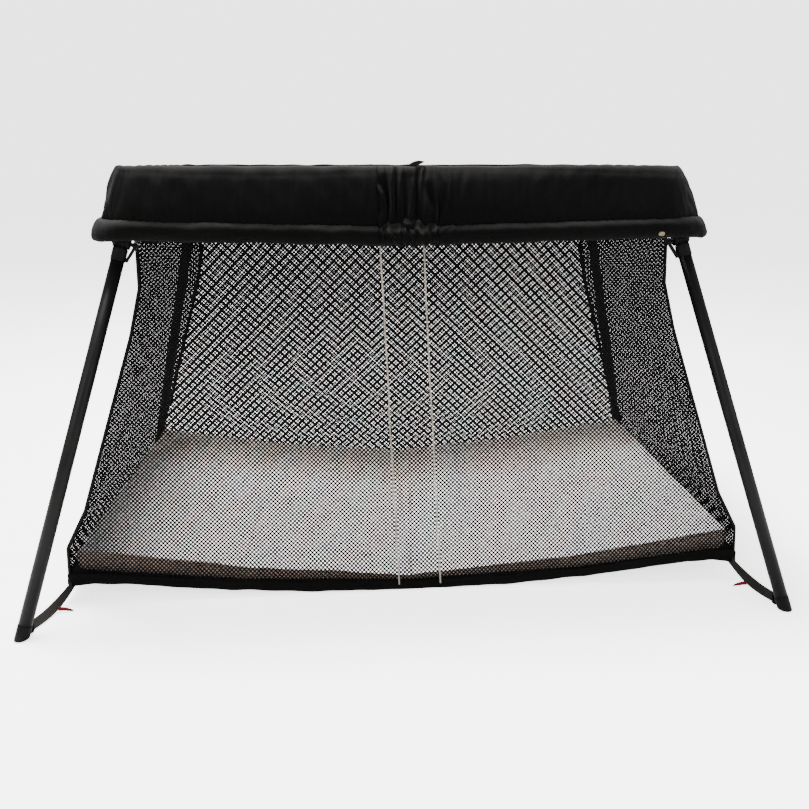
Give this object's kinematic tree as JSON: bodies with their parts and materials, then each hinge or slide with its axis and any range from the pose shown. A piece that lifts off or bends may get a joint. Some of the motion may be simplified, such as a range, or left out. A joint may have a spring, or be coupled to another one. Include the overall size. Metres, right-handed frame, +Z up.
{
  "type": "folding travel playpen",
  "caption": "Folding travel playpen: padded hinged top rail on four splayed legs, net walls, and a folding mattress on a hanging fabric floor.",
  "frame": {"origin": "on the floor, at the middle of the four feet", "axes": "+X along the long side, towards the right end; +Y from the near long side to the far one; +Z up"},
  "size_m": [1.1338, 0.8318, 0.6464],
  "materials": {
    "leg_tube": "satin dark grey enamel",
    "rail_tube": "satin drawn tube",
    "plastic": "fine matt grain",
    "brass": "dull brass",
    "steel": "turned",
    "padding": "padded woven fabric, matt",
    "net": "knitted net, half open",
    "webbing": "woven webbing",
    "mattress": "cotton cover, quilted edge",
    "ribbon": "woven ribbon",
    "tape": "flat woven tape",
    "leather": "matt",
    "button": "satin"
  },
  "bodies": {
    "left_frame": {"left_rail": "rail_tube", "left_roll": "padding", "left_band": "padding", "left_end_wall": "net", "left_floor": "padding", "near_left_bracket": "plastic", "near_left_pivot_pin": "brass", "near_left_wall": "net", "far_left_bracket": "plastic", "far_left_pivot_pin": "brass", "far_left_wall": "net", "near_hinge_clevis": "plastic", "near_hinge_pin": "steel", "near_centre_sleeve": "padding", "far_hinge_clevis": "plastic", "far_hinge_pin": "steel", "far_centre_sleeve": "padding", "near_left_tape": "tape", "pull_tab": "leather"},
    "right_frame": {"right_rail": "rail_tube", "right_roll": "padding", "right_band": "padding", "right_end_wall": "net", "right_floor": "padding", "near_right_bracket": "plastic", "near_right_pivot_pin": "brass", "near_right_wall": "net", "far_right_bracket": "plastic", "far_right_pivot_pin": "brass", "far_right_wall": "net", "near_hinge_knuckle": "plastic", "far_hinge_knuckle": "plastic", "near_right_tape": "tape"},
    "mattress_left": {"mattress_left_inner": "mattress"},
    "near_left_leg": {"near_left_strap_ribbon": "ribbon", "near_left_leg_head": "plastic", "near_left_leg_tube": "leg_tube", "near_left_foot": "plastic", "near_left_strap": "webbing"},
    "far_left_leg": {"far_left_strap_ribbon": "ribbon", "far_left_leg_head": "plastic", "far_left_leg_tube": "leg_tube", "far_left_foot": "plastic", "far_left_strap": "webbing"},
    "mattress_left_end": {"mattress_left_end": "mattress"},
    "mattress_right": {"mattress_right_inner": "mattress"},
    "near_right_leg": {"near_right_strap_ribbon": "ribbon", "near_right_leg_head": "plastic", "near_right_leg_tube": "leg_tube", "near_right_foot": "plastic", "near_right_strap": "webbing"},
    "far_right_leg": {"far_right_strap_ribbon": "ribbon", "far_right_leg_head": "plastic", "far_right_leg_tube": "leg_tube", "far_right_foot": "plastic", "far_right_strap": "webbing"},
    "mattress_right_end": {"mattress_right_end": "mattress"},
    "near_lock_button": {"near_lock_button": "button"},
    "far_lock_button": {"far_lock_button": "button"}
  },
  "joints": [
    {"name": "centre_fold", "type": "hinge", "parent": "left_frame", "child": "right_frame", "pos_m": [0, 0, 0.5565], "axis": [0, -1, 0], "range_deg": [0, 172], "deforming": ["left_roll", "right_roll", "left_band", "right_band", "near_centre_sleeve", "far_centre_sleeve", "near_left_wall", "far_left_wall", "near_right_wall", "far_right_wall", "left_end_wall", "right_end_wall", "left_floor", "right_floor", "near_left_strap", "far_left_strap", "near_right_strap", "far_right_strap", "near_left_strap_ribbon", "far_left_strap_ribbon", "near_right_strap_ribbon", "far_right_strap_ribbon", "near_left_tape", "near_right_tape", "pull_tab", "mattress_left_inner", "mattress_left_end", "mattress_right_inner", "mattress_right_end"]},
    {"name": "near_left_leg_fold", "type": "hinge", "parent": "left_frame", "child": "near_left_leg", "pos_m": [-0.40766, -0.2469, 0.537], "axis": [0.9604, 0.0229, -0.2775], "range_deg": [0, 98.5]},
    {"name": "far_left_leg_fold", "type": "hinge", "parent": "left_frame", "child": "far_left_leg", "pos_m": [-0.40766, 0.2469, 0.537], "axis": [-0.9654, -0.0876, 0.2458], "range_deg": [0, 100.3]},
    {"name": "far_right_leg_fold", "type": "hinge", "parent": "right_frame", "child": "far_right_leg", "pos_m": [0.40766, 0.2469, 0.537], "axis": [-0.9604, -0.0229, -0.2775], "range_deg": [0, 98.5]},
    {"name": "near_right_leg_fold", "type": "hinge", "parent": "right_frame", "child": "near_right_leg", "pos_m": [0.40766, -0.2469, 0.537], "axis": [0.9654, 0.0876, 0.2458], "range_deg": [0, 100.3]},
    {"name": "mattress_left_wrap", "type": "slide", "parent": "left_frame", "child": "mattress_left", "axis": [0, 0, 1], "range_m": [0, 0.361]},
    {"name": "mattress_left_fold", "type": "hinge", "parent": "mattress_left", "child": "mattress_left_end", "pos_m": [-0.2623, 0, 0.0402], "axis": [0, 1, 0], "range_deg": [0, 170]},
    {"name": "mattress_right_wrap", "type": "slide", "parent": "right_frame", "child": "mattress_right", "axis": [0, 0, 1], "range_m": [0, 0.361]},
    {"name": "mattress_right_fold", "type": "hinge", "parent": "mattress_right", "child": "mattress_right_end", "pos_m": [0.2623, 0, 0.0402], "axis": [0, -1, 0], "range_deg": [0, 170]},
    {"name": "near_lock_press", "type": "slide", "parent": "left_frame", "child": "near_lock_button", "axis": [0, 1, 0], "range_m": [0, 0.004], "stiffness_N_per_m": 400},
    {"name": "far_lock_press", "type": "slide", "parent": "left_frame", "child": "far_lock_button", "axis": [0, -1, 0], "range_m": [0, 0.004], "stiffness_N_per_m": 400}
  ],
  "couplings": [
    {"joint": "near_left_leg_fold", "follows": "centre_fold", "ratio": 0.57234},
    {"joint": "far_left_leg_fold", "follows": "centre_fold", "ratio": 0.5827},
    {"joint": "far_right_leg_fold", "follows": "centre_fold", "ratio": 0.57234},
    {"joint": "near_right_leg_fold", "follows": "centre_fold", "ratio": 0.5827},
    {"joint": "mattress_left_wrap", "follows": "centre_fold", "m_per_rad": 0.11992},
    {"joint": "mattress_right_wrap", "follows": "centre_fold", "m_per_rad": 0.11992}
  ]
}
